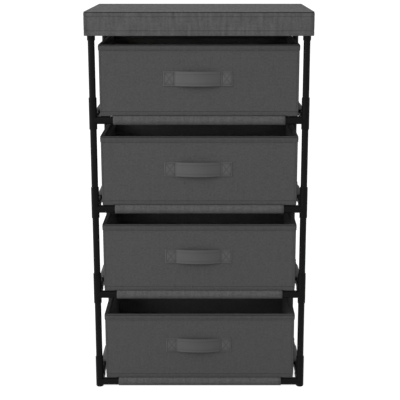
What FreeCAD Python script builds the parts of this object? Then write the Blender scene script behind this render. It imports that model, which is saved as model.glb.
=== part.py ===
import FreeCAD, Part
import Sketcher
import math
import os

# A free-standing rack of steel tubes and moulded corner connectors. It carries four fabric
# drawers on fabric shelf sheets, under a fabric cover with a board in its top.
# Millimetres. +Z is up, the drawer fronts face -Y, and the origin is on the floor under the
# middle of the cover.

SIZES = (
    ("cover_width", 450, "outside width of the cover"),
    ("cover_depth", 300, "outside depth of the cover"),
    ("cover_drop", 46.4, "top face of the cover to the lower edge of its skirt"),
    ("cover_fabric", 1.5, "thickness of the cover's cloth"),
    ("cover_board", 3, "thickness of the board inside the cover"),
    ("cover_board_gap", 0.5, "cover board to the inside of the skirt"),
    ("cover_rest_gap", 0.3, "cover board to the top of the frame"),
    ("cover_corner", 3, "radius of the cover's upright corners"),
    ("cover_seam", 1.2, "radius of the seam round the cover's top"),
    ("leg_inset", 13, "leg axis to the outside of the cover"),
    ("tube_diameter", 13.5, "outside diameter of every tube"),
    ("tube_wall", 0.8, "wall of every tube"),
    ("upright_length", 165, "length of an upright tube"),
    ("connector_diameter", 16, "outside diameter of a connector's barrels"),
    ("connector_edge", 0.6, "rounding of a connector's open ends"),
    ("socket_gap", 0.1, "tube to the wall of its socket"),
    ("socket_stop", 9, "centre of a connector to the floor of a socket"),
    ("arm_length", 40, "leg axis to the end of an arm"),
    ("tier_above", 45.5, "arm axis to the upper end of a tier connector"),
    ("tier_below", 18.2, "arm axis to the lower end of a tier connector"),
    ("foot_above", 56.3, "arm axis to the upper end of a foot"),
    ("foot_below", 10.5, "floor to the arm axis of a foot"),
    ("foot_stop", 20, "arm axis to the floor of a foot's socket"),
    ("foot_round", 2.2, "rounding of the underside of a foot"),
    ("top_below", 43, "lower end of a top connector to its arm axis"),
    ("top_stop", 27.7, "floor of a top connector's socket to its arm axis"),
    ("sleeve_gap", 0.25, "rail to the inside of its fabric sleeve"),
    ("sleeve_wall", 2.2, "thickness of a sleeve, cloth and seam together"),
    ("sleeve_end_gap", 0.3, "end of a sleeve to the end of the arm beside it"),
    ("shelf_fabric", 1.5, "thickness of a shelf sheet"),
    ("drawer_side_gap", 4.9, "hem of a drawer to the connectors beside it"),
    ("drawer_head_gap", 23.8, "hem of a drawer to the sleeves above it"),
    ("drawer_fabric", 1.2, "thickness of one layer of the drawer's cloth"),
    ("drawer_corner", 3, "radius of a drawer's upright corners"),
    ("drawer_rest_gap", 0.3, "underside of a drawer to its shelf sheet"),
    ("drawer_front_set", 4, "front leg axis to the front face of a drawer"),
    ("wall_board", 3, "thickness of the boards in a drawer's walls"),
    ("wall_board_gap", 0.25, "wall board to the cloth each side of it"),
    ("base_board", 3, "thickness of the board in a drawer's floor"),
    ("base_board_gap", 0.5, "base board to the inside of the walls"),
    ("hem_drop", 11, "height of the hem binding"),
    ("hem_fabric", 1, "thickness of the hem binding"),
    ("hem_gap", 0.1, "hem binding to the wall that it covers"),
    ("handle_length", 137.5, "length of the strap handle, end to end"),
    ("handle_height", 30, "width of the strap"),
    ("handle_strap", 2, "thickness of the strap"),
    ("handle_arch", 89, "distance between the handle's two sewn ends"),
    ("handle_bulge", 6.5, "room behind the middle of the handle"),
    ("handle_centre", 74, "underside of a drawer to the middle of its handle"),
    ("handle_shift", 2, "middle of the handle to the left of the drawer's middle"),
)

LEG_X = "(sizes.cover_width / 2 - sizes.leg_inset)"
LEG_Y = "(sizes.cover_depth / 2 - sizes.leg_inset)"
TUBE_RADIUS = "(sizes.tube_diameter / 2)"
CONNECTOR_RADIUS = "(sizes.connector_diameter / 2)"
SOCKET_RADIUS = f"({TUBE_RADIUS} + sizes.socket_gap)"
SLEEVE_BORE = f"({TUBE_RADIUS} + sizes.sleeve_gap)"
SLEEVE_RADIUS = f"({SLEEVE_BORE} + sizes.sleeve_wall)"

# Each level is the height of its rails. Level 4 is the lowest and level 0 the one in the cover.
TIERS = (1, 2, 3, 4)
TIER_RISE = "(sizes.upright_length + 2 * sizes.socket_stop)"
LEVEL = {4: "sizes.foot_below"}
LEVEL[3] = f"{LEVEL[4]} + sizes.foot_stop + sizes.upright_length + sizes.socket_stop"
LEVEL[2] = f"{LEVEL[3]} + {TIER_RISE}"
LEVEL[1] = f"{LEVEL[2]} + {TIER_RISE}"
LEVEL[0] = f"{LEVEL[1]} + sizes.socket_stop + sizes.upright_length + sizes.top_stop"

# The cover's board rests just above the barrels of the top connectors.
COVER_TOP = (
    f"{LEVEL[0]} + {CONNECTOR_RADIUS} + sizes.cover_rest_gap"
    " + sizes.cover_board + sizes.cover_fabric")

# A corner's two signs, and the turn that points its arms at the neighbouring corners.
CORNERS = {
    "front_left": (-1, -1, 0),
    "front_right": (1, -1, 90),
    "back_right": (1, 1, 180),
    "back_left": (-1, 1, 270),
}

# A drawer fills the room between the posts and between two shelves, less its named gaps, and
# reaches back to the axis of the back rail.
HEM_PROUD = "(sizes.hem_gap + sizes.hem_fabric)"
SIDE_ROOM = f"({CONNECTOR_RADIUS} + sizes.drawer_side_gap + {HEM_PROUD})"
HEAD_ROOM = f"(2 * {SLEEVE_RADIUS} + sizes.drawer_rest_gap + sizes.drawer_head_gap)"
DRAWER_WIDTH = f"(2 * ({LEG_X} - {SIDE_ROOM}))"
DRAWER_DEPTH = f"(2 * {LEG_Y} + sizes.drawer_front_set)"
DRAWER_HEIGHT = f"({TIER_RISE} - {HEAD_ROOM})"
SHELL_HEIGHT = f"({DRAWER_HEIGHT} - {HEM_PROUD})"
POCKET = "(sizes.wall_board + 2 * sizes.wall_board_gap)"
WALL = f"(2 * sizes.drawer_fabric + {POCKET})"
DRAWER_INSIDE_X = f"({DRAWER_WIDTH} - 2 * {WALL})"
DRAWER_INSIDE_Y = f"({DRAWER_DEPTH} - 2 * {WALL})"
WALL_MIDDLE_X = f"(({DRAWER_WIDTH} - {WALL}) / 2)"
WALL_MIDDLE_Y = f"(({DRAWER_DEPTH} - {WALL}) / 2)"

UP = FreeCAD.Vector(0, 0, 1)
UPRIGHT = FreeCAD.Rotation()
SIDEWAYS = FreeCAD.Rotation(FreeCAD.Vector(0, 1, 0), 90)
LENGTHWAYS = FreeCAD.Rotation(FreeCAD.Vector(1, 0, 0), -90)
TOUCHING = 0.001

doc = FreeCAD.newDocument("fabric_drawer_dresser")
sizes = doc.addObject("Spreadsheet::Sheet", "sizes")
for row, (alias, amount, meaning) in enumerate(SIZES, start=1):
    sizes.set(f"A{row}", meaning)
    sizes.set(f"B{row}", str(amount))
    sizes.setAlias(f"B{row}", alias)
doc.recompute()

nodes = []


def value(expression):
    """Work an expression out to a number, in millimetres."""
    return float(sizes.evalExpression(expression))


def bind_place(piece, x="0", y="0", z="0", rotation=UPRIGHT):
    """Turn an object and tie its position to three expressions."""
    piece.Placement = FreeCAD.Placement(FreeCAD.Vector(), rotation)
    for axis, place in zip("xyz", (x, y, z)):
        piece.setExpression(f"Placement.Base.{axis}", place)


def group(label, sources, x="0", y="0", z="0", rotation=UPRIGHT):
    """Place copies of one or more shapes as one object."""
    piece = doc.addObject("Part::Compound", label)
    piece.Label = label
    piece.Links = sources
    bind_place(piece, x, y, z, rotation)
    return piece


def node(piece):
    """List an object as a sub-part of the dresser."""
    nodes.append(piece)


def new_body(label):
    """Start a PartDesign body."""
    body = doc.addObject("PartDesign::Body", label)
    body.Label = label
    return body


def new_sketch(body, name, role, x="0", y="0", z="0"):
    """Put a sketch on one of the body's own origin planes, moved off it by expressions."""
    sketch = body.newObject("Sketcher::SketchObject", name)
    plane = next(item for item in body.Origin.OriginFeatures if item.Role == role)
    sketch.AttachmentSupport = [(plane, "")]
    sketch.MapMode = "FlatFace"
    for axis, place in zip("xyz", (x, y, z)):
        sketch.setExpression(f"AttachmentOffset.Base.{axis}", place)
    return sketch


def bind_constraint(sketch, constraint, name, expression):
    """Add a dimension to a sketch and tie it to an expression."""
    index = sketch.addConstraint(constraint)
    sketch.renameConstraint(index, name)
    sketch.setExpression(f"Constraints.{name}", expression)


def rectangle(sketch, width, depth, name="outer"):
    """Draw a rectangle centred on the sketch's origin, inside or round any other one there."""
    first = sketch.GeometryCount
    corners = [FreeCAD.Vector(x, y) for x, y in ((-1, -1), (1, -1), (1, 1), (-1, 1))]
    for start, end in zip(corners, corners[1:] + corners[:1]):
        sketch.addGeometry(Part.LineSegment(start, end))
    for side in range(4):
        here, after = first + side, first + (side + 1) % 4
        sketch.addConstraint(Sketcher.Constraint("Coincident", here, 2, after, 1))
        sketch.addConstraint(Sketcher.Constraint(("Horizontal", "Vertical")[side % 2], here))
    sketch.addConstraint(Sketcher.Constraint("Symmetric", first, 1, first + 1, 2, -1, 1))
    across = Sketcher.Constraint("DistanceX", first, 1, first, 2, 2)
    along = Sketcher.Constraint("DistanceY", first + 1, 1, first + 1, 2, 2)
    bind_constraint(sketch, across, f"{name}_width", width)
    bind_constraint(sketch, along, f"{name}_depth", depth)


def circle(sketch, radius, name="radius"):
    """Draw a circle round the sketch's origin."""
    index = sketch.addGeometry(Part.Circle(FreeCAD.Vector(), UP, 1))
    sketch.addConstraint(Sketcher.Constraint("Coincident", index, 3, -1, 1))
    bind_constraint(sketch, Sketcher.Constraint("Radius", index, 1), name, radius)


def pad(body, sketch, name, length, backwards=False):
    """Add the sketch's area as material, along its plane's normal or backwards."""
    feature = body.newObject("PartDesign::Pad", name)
    feature.Profile = sketch
    feature.Reversed = backwards
    feature.setExpression("Length", length)


def pocket(body, sketch, name, length, forwards=False):
    """Cut the sketch's area away, against its plane's normal or forwards."""
    doc.recompute()
    before = body.Shape.Volume
    feature = body.newObject("PartDesign::Pocket", name)
    feature.Profile = sketch
    feature.Reversed = forwards
    feature.setExpression("Length", length)
    doc.recompute()
    if body.Shape.Volume >= before:
        raise RuntimeError(f"{name} cut nothing")


def round_edges(body, name, radius, chosen):
    """Round the edges that a test picks from the body's last feature."""
    doc.recompute()
    base = body.Tip
    edges = enumerate(base.Shape.Edges, start=1)
    picked = [f"Edge{index}" for index, edge in edges if chosen(edge)]
    feature = body.newObject("PartDesign::Fillet", name)
    feature.Base = (base, picked)
    feature.setExpression("Radius", radius)
    doc.recompute()


def is_upright(edge):
    """Tell whether an edge is a straight vertical line."""
    return isinstance(edge.Curve, Part.Line) and edge.Curve.Direction.cross(UP).Length < TOUCHING


def upright_at(reach):
    """Return a test for the upright edges that stand at one distance to the left and right."""
    place = value(reach)
    return lambda edge: is_upright(edge) and abs(abs(edge.Vertexes[0].X) - place) < TOUCHING


def tube(name, length):
    """Make a tube that stands on its own origin, along +Z."""
    outside = doc.addObject("Part::Cylinder", f"{name}_outside")
    outside.setExpression("Radius", TUBE_RADIUS)
    outside.setExpression("Height", length)
    inside = doc.addObject("Part::Cylinder", f"{name}_inside")
    inside.setExpression("Radius", f"{TUBE_RADIUS} - sizes.tube_wall")
    inside.setExpression("Height", length)
    hollow = doc.addObject("Part::Cut", name)
    hollow.Base = outside
    hollow.Tool = inside
    return hollow


def board(name, length, width, height, x, y, z):
    """Make a flat board from the place of its middle, measured at its underside."""
    sheet = doc.addObject("Part::Box", name)
    sheet.setExpression("Length", length)
    sheet.setExpression("Width", width)
    sheet.setExpression("Height", height)
    bind_place(sheet, f"{x} - {length} / 2", f"{y} - {width} / 2", z)
    return sheet


# ------------------------------------------------------------------ corner connectors

def is_barrel_rim(edge):
    """Tell whether an edge is a circle of a connector's outside diameter."""
    barrel = value(CONNECTOR_RADIUS)
    return isinstance(edge.Curve, Part.Circle) and abs(edge.Curve.Radius - barrel) < TOUCHING


def connector(name, above, below, upper_stop=None, lower_stop=None):
    """Mould a connector round its centre: an upright barrel, an arm to +X and an arm to +Y.

    A stop is the distance from the centre to the floor of the upper or lower socket, and an
    end with no stop is closed.
    """
    body = new_body(name)
    post = new_sketch(body, f"{name}_post_outline", "XY_Plane", z=f"-{below}")
    circle(post, CONNECTOR_RADIUS)
    pad(body, post, f"{name}_post", f"{above} + {below}")
    arm_x = new_sketch(body, f"{name}_arm_x_outline", "YZ_Plane")
    circle(arm_x, CONNECTOR_RADIUS)
    pad(body, arm_x, f"{name}_arm_x", "sizes.arm_length")
    arm_y = new_sketch(body, f"{name}_arm_y_outline", "XZ_Plane")
    circle(arm_y, CONNECTOR_RADIUS)
    pad(body, arm_y, f"{name}_arm_y", "sizes.arm_length", backwards=True)

    arm_depth = "sizes.arm_length - sizes.socket_stop"
    socket_x = new_sketch(body, f"{name}_socket_x_outline", "YZ_Plane", z="sizes.arm_length")
    circle(socket_x, SOCKET_RADIUS)
    pocket(body, socket_x, f"{name}_socket_x", arm_depth)
    socket_y = new_sketch(body, f"{name}_socket_y_outline", "XZ_Plane", z="-sizes.arm_length")
    circle(socket_y, SOCKET_RADIUS)
    pocket(body, socket_y, f"{name}_socket_y", arm_depth, forwards=True)
    if upper_stop:
        upper = new_sketch(body, f"{name}_upper_outline", "XY_Plane", z=above)
        circle(upper, SOCKET_RADIUS)
        pocket(body, upper, f"{name}_upper_socket", f"{above} - {upper_stop}")
    if lower_stop:
        lower = new_sketch(body, f"{name}_lower_outline", "XY_Plane", z=f"-{below}")
        circle(lower, SOCKET_RADIUS)
        pocket(body, lower, f"{name}_lower_socket", f"{below} - {lower_stop}", forwards=True)

    arm_end = value("sizes.arm_length")
    top_end = value(above)

    def at_open_end(edge):
        """Pick the outer rim of each arm's end and of an open upper end."""
        if not is_barrel_rim(edge):
            return False
        centre = edge.Curve.Center
        at_arm_end = max(centre.x, centre.y) > arm_end - TOUCHING
        return at_arm_end or (upper_stop is not None and centre.z > top_end - TOUCHING)

    round_edges(body, f"{name}_edges", "sizes.connector_edge", at_open_end)
    return body


def round_underside(body, name):
    """Round the lower rim of a foot."""
    floor = -value("sizes.foot_below")

    def at_floor(edge):
        """Pick the rim that stands on the floor."""
        return is_barrel_rim(edge) and abs(edge.Curve.Center.z - floor) < TOUCHING

    round_edges(body, name, "sizes.foot_round", at_floor)


def place_corners(label, source, level):
    """Put one connector at each corner of a level."""
    for corner, (side_x, side_y, angle) in CORNERS.items():
        node(group(
            f"{label}_{corner}", [source], f"{side_x} * {LEG_X}", f"{side_y} * {LEG_Y}",
            LEVEL[level], FreeCAD.Rotation(UP, angle)))


foot = connector("foot_moulding", "sizes.foot_above", "sizes.foot_below", "sizes.foot_stop")
round_underside(foot, "foot_moulding_underside")
tier_joint = connector(
    "tier_moulding", "sizes.tier_above", "sizes.tier_below",
    "sizes.socket_stop", "sizes.socket_stop")
top_joint = connector(
    "top_moulding", CONNECTOR_RADIUS, "sizes.top_below", lower_stop="sizes.top_stop")

place_corners("top_connector", top_joint, 0)
for tier in TIERS[:-1]:
    place_corners(f"connector_{tier}", tier_joint, tier)
place_corners("foot", foot, TIERS[-1])


# ------------------------------------------------------------------ tubes

upright = tube("upright_tube", "sizes.upright_length")
upright_set = [
    group(f"upright_{corner}", [upright], f"{side_x} * {LEG_X}", f"{side_y} * {LEG_Y}")
    for corner, (side_x, side_y, angle) in CORNERS.items()]
for tier in TIERS:
    stop = "sizes.foot_stop" if tier == TIERS[-1] else "sizes.socket_stop"
    node(group(f"uprights_{tier}", upright_set, z=f"{LEVEL[tier]} + {stop}"))

cross_reach = f"({LEG_X} - sizes.socket_stop)"
side_reach = f"({LEG_Y} - sizes.socket_stop)"
cross_rail = tube("cross_rail", f"2 * {cross_reach}")
side_rail = tube("side_rail", f"2 * {side_reach}")
cross_set = [
    group("cross_rail_front", [cross_rail], f"-{cross_reach}", f"-{LEG_Y}", "0", SIDEWAYS),
    group("cross_rail_back", [cross_rail], f"-{cross_reach}", LEG_Y, "0", SIDEWAYS)]
side_set = [
    group("side_rail_left", [side_rail], f"-{LEG_X}", f"-{side_reach}", "0", LENGTHWAYS),
    group("side_rail_right", [side_rail], LEG_X, f"-{side_reach}", "0", LENGTHWAYS)]
for level in sorted(LEVEL):
    place = level or "top"
    node(group(f"cross_rails_{place}", cross_set, z=LEVEL[level]))
    node(group(f"side_rails_{place}", side_set, z=LEVEL[level]))


# ------------------------------------------------------------------ shelf sheets

def shelf_sheet():
    """Sew a shelf sheet: a cross of cloth with open corners and a sleeve along each edge.

    Its top face lies level with the crowns of its sleeves, and its origin is at rail height.
    """
    body = new_body("shelf_sheet")
    across = f"(2 * ({LEG_X} - sizes.arm_length - sizes.sleeve_end_gap))"
    along = f"(2 * ({LEG_Y} - sizes.arm_length - sizes.sleeve_end_gap))"
    underside = f"{SLEEVE_RADIUS} - sizes.shelf_fabric"
    for name, width, depth in (
            ("shelf_wide", f"2 * {LEG_X}", along), ("shelf_deep", across, f"2 * {LEG_Y}")):
        outline = new_sketch(body, f"{name}_outline", "XY_Plane", z=underside)
        rectangle(outline, width, depth)
        pad(body, outline, name, "sizes.shelf_fabric")
    for name, role, place, length in (
            ("front_sleeve", "YZ_Plane", f"-{LEG_Y}", across),
            ("back_sleeve", "YZ_Plane", LEG_Y, across),
            ("left_sleeve", "XZ_Plane", f"-{LEG_X}", along),
            ("right_sleeve", "XZ_Plane", LEG_X, along)):
        ring = new_sketch(body, f"{name}_outline", role, place, "0", f"-{length} / 2")
        circle(ring, SLEEVE_RADIUS, "outside")
        circle(ring, SLEEVE_BORE, "inside")
        pad(body, ring, name, length)
    return body


shelf = shelf_sheet()
for tier in TIERS:
    node(group(f"shelf_{tier}", [shelf], z=LEVEL[tier]))


# ------------------------------------------------------------------ cover

def cover_cloth():
    """Sew the cover: a box of cloth, open below, with its origin in the middle of its top."""
    body = new_body("cover_fabric")
    outline = new_sketch(body, "cover_outline", "XY_Plane")
    rectangle(outline, "sizes.cover_width", "sizes.cover_depth")
    pad(body, outline, "cover_block", "sizes.cover_drop", backwards=True)
    round_edges(body, "cover_corners", "sizes.cover_corner", is_upright)

    def at_top(edge):
        """Pick the edges that lie in the top face."""
        return edge.BoundBox.ZMin > -TOUCHING

    round_edges(body, "cover_seam_round", "sizes.cover_seam", at_top)
    hollow = new_sketch(body, "cover_hollow_outline", "XY_Plane", z="-sizes.cover_drop")
    rectangle(
        hollow, "sizes.cover_width - 2 * sizes.cover_fabric",
        "sizes.cover_depth - 2 * sizes.cover_fabric")
    pocket(body, hollow, "cover_hollow", "sizes.cover_drop - sizes.cover_fabric", forwards=True)
    bind_place(body, z=COVER_TOP)
    return body


def cover_panel():
    """Cut the board that stiffens the top of the cover."""
    body = new_body("cover_board")
    outline = new_sketch(body, "cover_board_outline", "XY_Plane", z="-sizes.cover_fabric")
    margin = "2 * (sizes.cover_fabric + sizes.cover_board_gap)"
    rectangle(outline, f"sizes.cover_width - {margin}", f"sizes.cover_depth - {margin}")
    pad(body, outline, "cover_board_sheet", "sizes.cover_board", backwards=True)
    bind_place(body, z=COVER_TOP)
    return body


node(cover_cloth())
node(cover_panel())


# ------------------------------------------------------------------ drawers
# Every piece of a drawer is made round the middle of the drawer's underside.

def drawer_shell():
    """Sew the shell: a floor and four double walls, each with a pocket open at the top."""
    body = new_body("drawer_shell")
    outline = new_sketch(body, "shell_outline", "XY_Plane")
    rectangle(outline, DRAWER_WIDTH, DRAWER_DEPTH)
    pad(body, outline, "shell_block", SHELL_HEIGHT)
    round_edges(body, "shell_corners", "sizes.drawer_corner", is_upright)
    depth = f"{SHELL_HEIGHT} - sizes.drawer_fabric"
    inside = new_sketch(body, "shell_inside_outline", "XY_Plane", z=SHELL_HEIGHT)
    rectangle(inside, DRAWER_INSIDE_X, DRAWER_INSIDE_Y)
    pocket(body, inside, "shell_inside", depth)
    for name, width, length, x, y in (
            ("front_pocket", DRAWER_INSIDE_X, POCKET, "0", f"-{WALL_MIDDLE_Y}"),
            ("back_pocket", DRAWER_INSIDE_X, POCKET, "0", WALL_MIDDLE_Y),
            ("left_pocket", POCKET, DRAWER_INSIDE_Y, f"-{WALL_MIDDLE_X}", "0"),
            ("right_pocket", POCKET, DRAWER_INSIDE_Y, WALL_MIDDLE_X, "0")):
        mouth = new_sketch(body, name + "_outline", "XY_Plane", x, y, SHELL_HEIGHT)
        rectangle(mouth, width, length)
        pocket(body, mouth, name, depth)
    return body


def drawer_wall_boards():
    """Cut the four boards that stand in the pockets of the walls."""
    height = f"({SHELL_HEIGHT} - sizes.drawer_fabric - sizes.wall_board_gap)"
    long_x = f"({DRAWER_INSIDE_X} - 2 * sizes.wall_board_gap)"
    long_y = f"({DRAWER_INSIDE_Y} - 2 * sizes.wall_board_gap)"
    thin = "sizes.wall_board"
    floor = "sizes.drawer_fabric"
    return group("drawer_wall_boards", [
        board("front_board", long_x, thin, height, "0", f"-{WALL_MIDDLE_Y}", floor),
        board("back_board", long_x, thin, height, "0", WALL_MIDDLE_Y, floor),
        board("left_board", thin, long_y, height, f"-{WALL_MIDDLE_X}", "0", floor),
        board("right_board", thin, long_y, height, WALL_MIDDLE_X, "0", floor)])


def drawer_base_board():
    """Cut the board that lies on the floor of the shell."""
    body = new_body("drawer_base_board")
    outline = new_sketch(body, "base_outline", "XY_Plane", z="sizes.drawer_fabric")
    margin = "2 * sizes.base_board_gap"
    rectangle(outline, f"{DRAWER_INSIDE_X} - {margin}", f"{DRAWER_INSIDE_Y} - {margin}")
    pad(body, outline, "base_sheet", "sizes.base_board")
    return body


def drawer_hem():
    """Fold the hem: a binding that covers the rim and both sides of the walls below it."""
    body = new_body("drawer_hem")
    proud = f"2 * {HEM_PROUD}"
    snug = "2 * sizes.hem_gap"
    outline = new_sketch(body, "hem_outline", "XY_Plane", z=DRAWER_HEIGHT)
    rectangle(outline, f"{DRAWER_WIDTH} + {proud}", f"{DRAWER_DEPTH} + {proud}")
    pad(body, outline, "hem_block", "sizes.hem_drop", backwards=True)
    fold = new_sketch(body, "hem_fold_outline", "XY_Plane", z=f"{DRAWER_HEIGHT} - sizes.hem_drop")
    rectangle(fold, f"{DRAWER_WIDTH} + {snug}", f"{DRAWER_DEPTH} + {snug}")
    rectangle(fold, f"{DRAWER_INSIDE_X} - {snug}", f"{DRAWER_INSIDE_Y} - {snug}", "inner")
    pocket(body, fold, "hem_fold", "sizes.hem_drop - sizes.hem_fabric", forwards=True)
    round_edges(
        body, "hem_fold_corners", "sizes.drawer_corner + sizes.hem_gap",
        upright_at(f"{DRAWER_WIDTH} / 2 + sizes.hem_gap"))
    round_edges(
        body, "hem_corners", f"sizes.drawer_corner + {HEM_PROUD}",
        upright_at(f"{DRAWER_WIDTH} / 2 + {HEM_PROUD}"))
    mouth = new_sketch(body, "hem_mouth_outline", "XY_Plane", z=DRAWER_HEIGHT)
    rectangle(mouth, f"{DRAWER_INSIDE_X} - {proud}", f"{DRAWER_INSIDE_Y} - {proud}")
    pocket(body, mouth, "hem_mouth", "sizes.hem_drop")
    return body


def drawer_handle():
    """Sew the handle: a strap with two flat ends and a shallow arch between them.

    The outline is drawn from above. The arch is an arc through both ends of its chord, so its
    radius is (half chord squared + bulge squared) / (2 bulge).
    """
    body = new_body("drawer_handle")
    sketch = new_sketch(
        body, "handle_outline", "XY_Plane", "-sizes.handle_shift", f"-{DRAWER_DEPTH} / 2",
        "sizes.handle_centre - sizes.handle_height / 2")
    half = value("sizes.handle_length / 2")
    arch = value("sizes.handle_arch / 2")
    strap = value("sizes.handle_strap")
    bulge = value("sizes.handle_bulge")
    radius = (arch ** 2 + bulge ** 2) / (2 * bulge)
    middle = FreeCAD.Vector(0, radius - bulge)
    outer_arch = math.sqrt((radius + strap) ** 2 - (middle.y + strap) ** 2)
    outwards = 1.5 * math.pi

    def arc(size, reach, level):
        """Return the arc about the shared middle between two points at one level."""
        swing = math.atan2(reach, middle.y - level)
        ring = Part.Circle(middle, UP, size)
        return Part.ArcOfCircle(ring, outwards - swing, outwards + swing)

    def line(start_x, start_y, end_x, end_y):
        """Return a straight edge of the outline."""
        return Part.LineSegment(FreeCAD.Vector(start_x, start_y), FreeCAD.Vector(end_x, end_y))

    left_back, right_back, right_end, right_face, left_face, left_end, inner, outer = range(8)
    for edge in (
            line(-half, 0, -arch, 0), line(arch, 0, half, 0), line(half, 0, half, -strap),
            line(half, -strap, outer_arch, -strap), line(-outer_arch, -strap, -half, -strap),
            line(-half, -strap, -half, 0), arc(radius, arch, 0),
            arc(radius + strap, outer_arch, -strap)):
        sketch.addGeometry(edge)
    for first, first_end, second, second_end in (
            (left_back, 2, inner, 1), (inner, 2, right_back, 1), (right_back, 2, right_end, 1),
            (right_end, 2, right_face, 1), (right_face, 2, outer, 2), (outer, 1, left_face, 1),
            (left_face, 2, left_end, 1), (left_end, 2, left_back, 1), (inner, 3, outer, 3)):
        sketch.addConstraint(
            Sketcher.Constraint("Coincident", first, first_end, second, second_end))
    for edge in (left_back, right_face, left_face):
        sketch.addConstraint(Sketcher.Constraint("Horizontal", edge))
    for edge in (left_end, right_end):
        sketch.addConstraint(Sketcher.Constraint("Vertical", edge))
    sketch.addConstraint(Sketcher.Constraint("PointOnObject", left_back, 1, -1))
    sketch.addConstraint(Sketcher.Constraint("Symmetric", left_back, 1, right_back, 2, -2))
    sketch.addConstraint(Sketcher.Constraint("Symmetric", left_back, 2, right_back, 1, -2))
    sketch.addConstraint(Sketcher.Constraint("Horizontal", left_face, 1, right_face, 2))
    bind_constraint(
        sketch, Sketcher.Constraint("DistanceX", left_back, 1, right_back, 2, 2 * half),
        "length", "sizes.handle_length")
    bind_constraint(
        sketch, Sketcher.Constraint("DistanceX", left_back, 2, right_back, 1, 2 * arch),
        "arch", "sizes.handle_arch")
    bind_constraint(
        sketch, Sketcher.Constraint("DistanceY", right_end, 2, right_end, 1, strap),
        "strap", "sizes.handle_strap")
    arch_radius = (
        "(((sizes.handle_arch / 2)^2 + sizes.handle_bulge^2) / (2 * sizes.handle_bulge))")
    bind_constraint(
        sketch, Sketcher.Constraint("Radius", inner, radius), "inner_radius", arch_radius)
    bind_constraint(
        sketch, Sketcher.Constraint("Radius", outer, radius + strap),
        "outer_radius", f"{arch_radius} + sizes.handle_strap")
    pad(body, sketch, "handle_strap", "sizes.handle_height")
    return body


drawer_pieces = (
    ("fabric", drawer_shell()),
    ("wall_boards", drawer_wall_boards()),
    ("base_board", drawer_base_board()),
    ("hem", drawer_hem()),
    ("handle", drawer_handle()),
)
drawer_y = f"{DRAWER_DEPTH} / 2 - sizes.drawer_front_set - {LEG_Y}"
for tier in TIERS:
    drawer_z = f"{LEVEL[tier]} + {SLEEVE_RADIUS} + sizes.drawer_rest_gap"
    for name, source in drawer_pieces:
        node(group(f"drawer_{tier}_{name}", [source], y=drawer_y, z=drawer_z))


# ------------------------------------------------------------------ checks and files

doc.recompute()
for item in doc.Objects:
    if "Invalid" in item.State or "Error" in item.State:
        raise RuntimeError(f"{item.Label} did not rebuild")
for piece in nodes:
    if piece.Shape.isNull() or not piece.Shape.isValid():
        raise RuntimeError(f"{piece.Label} has no valid shape")

os.makedirs("parts", exist_ok=True)
for piece in nodes:
    piece.Shape.exportStep(f"parts/{piece.Label}.step")
print(f"{len(nodes)} sub-parts written")
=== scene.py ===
"""A free-standing rack of black steel tubes with four grey cloth drawers under a cloth cover.

The packed solids give every place. The cloth, its seams, the stitches and the straps are worked
out here as surfaces over grids of two parameters, and every finish is a tree of nodes.
Metres: +Z is up, the floor is at zero and the drawer fronts face -Y.
"""

import math

import bmesh
import bpy
import numpy as np
from bpy.props import FloatProperty, FloatVectorProperty, PointerProperty
from bpy.types import Operator, Panel, PropertyGroup
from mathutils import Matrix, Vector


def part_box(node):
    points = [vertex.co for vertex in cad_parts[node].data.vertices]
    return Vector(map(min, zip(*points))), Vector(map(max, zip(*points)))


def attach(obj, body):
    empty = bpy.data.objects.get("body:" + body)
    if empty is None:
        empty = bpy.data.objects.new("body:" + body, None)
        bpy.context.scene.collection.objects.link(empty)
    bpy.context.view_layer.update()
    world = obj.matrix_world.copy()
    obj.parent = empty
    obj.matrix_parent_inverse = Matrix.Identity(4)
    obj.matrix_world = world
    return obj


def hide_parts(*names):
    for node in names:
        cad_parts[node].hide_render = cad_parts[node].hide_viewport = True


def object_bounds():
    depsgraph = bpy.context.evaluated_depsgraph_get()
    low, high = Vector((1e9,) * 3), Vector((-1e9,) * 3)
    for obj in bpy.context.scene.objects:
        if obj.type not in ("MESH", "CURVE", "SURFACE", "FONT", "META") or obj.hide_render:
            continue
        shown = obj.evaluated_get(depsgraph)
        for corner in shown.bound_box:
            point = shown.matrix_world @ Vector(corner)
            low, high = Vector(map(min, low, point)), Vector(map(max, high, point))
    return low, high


bl_info = {
    "name": "Cloth drawer rack",
    "version": (1, 0, 0),
    "blender": (4, 5, 0),
    "location": "3D View > Sidebar > Rack",
    "description": "Sews the cloth of a drawer rack over its packed frame",
    "category": "Add Mesh",
}

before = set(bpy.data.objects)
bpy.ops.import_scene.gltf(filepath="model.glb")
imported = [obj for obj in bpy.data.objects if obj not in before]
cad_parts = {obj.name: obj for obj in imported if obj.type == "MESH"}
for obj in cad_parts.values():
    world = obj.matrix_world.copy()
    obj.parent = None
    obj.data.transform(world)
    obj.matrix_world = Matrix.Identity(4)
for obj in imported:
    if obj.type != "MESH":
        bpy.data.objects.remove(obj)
CAD_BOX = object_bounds()
TIERS = (1, 2, 3, 4)
CONNECTORS = {1: "connector_1", 2: "connector_2", 3: "connector_3", 4: "foot"}
UP = (0.0, 0.0, 1.0)
FRONTWARDS = (0.0, -1.0, 0.0)
MERGED = 1e-6
SHARP_EDGE = math.radians(48)
WHITE = (1.0, 1.0, 1.0, 1.0)
KEY_LAMP = {"azimuth": 62.0, "elevation": 31.0, "distance": 3.3, "size": 3.0}
CAMERA_SHIFT = (-0.023, -0.030)
CAMERA_CLIP = (0.05, 200.0)
SENSOR_WIDTH = 36.0


# ------------------------------------------------------------------ settings


def amount(name, meaning, default, **kind):
    """A number that a user may change."""
    return FloatProperty(name=name, description=meaning, default=default, **kind)


def length(name, meaning, default):
    """A size in metres that a user may change."""
    return amount(name, meaning, default, min=0.0, unit="LENGTH", precision=5)


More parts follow.
